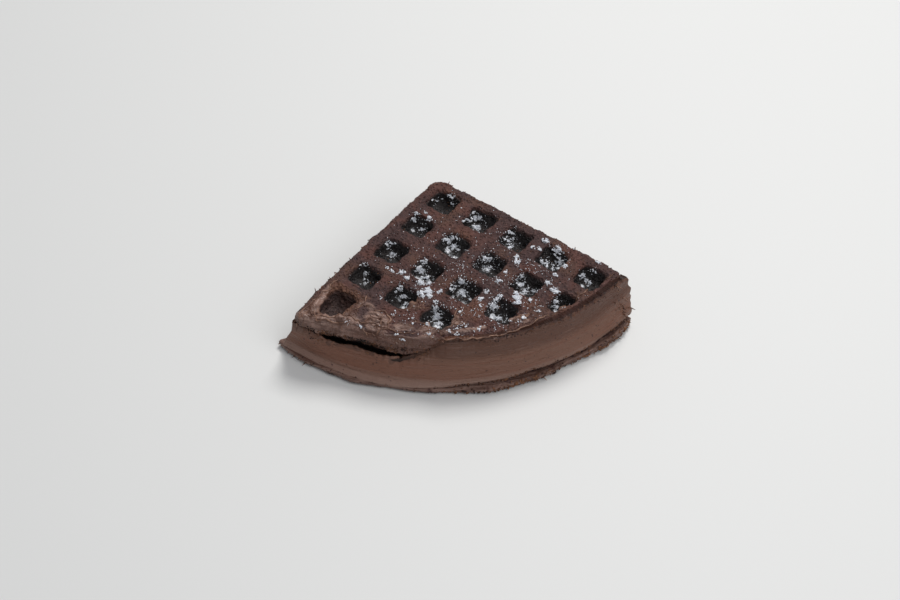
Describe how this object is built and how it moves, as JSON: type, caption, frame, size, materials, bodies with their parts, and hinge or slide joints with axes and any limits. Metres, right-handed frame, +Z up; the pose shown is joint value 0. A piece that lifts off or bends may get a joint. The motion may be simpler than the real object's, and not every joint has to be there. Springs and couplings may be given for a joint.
{
  "type": "filled chocolate waffle wedge",
  "caption": "Quarter-round wedge of two square-pocket chocolate waffles with chocolate cream between them and wiped round the curved side, dusted with icing sugar.",
  "frame": {"origin": "on the surface the wedge rests on, under the middle of its bounding box", "axes": "+Z up, the wedge's point towards +Y, its curved side towards -Y, its longest side along X"},
  "size_m": [0.1336, 0.0918, 0.0244],
  "materials": {
    "baked_waffle": "matte dark chocolate crust, fine crumb, nearly black in the pockets",
    "cream": "satin milk chocolate cream with spatula streaks",
    "sugar": "matte white icing sugar, loose grains and small clumps"
  },
  "bodies": {
    "root": {"waffle_top": "baked_waffle", "chocolate_cream": "cream", "waffle_bottom": "baked_waffle"}
  },
  "joints": []
}
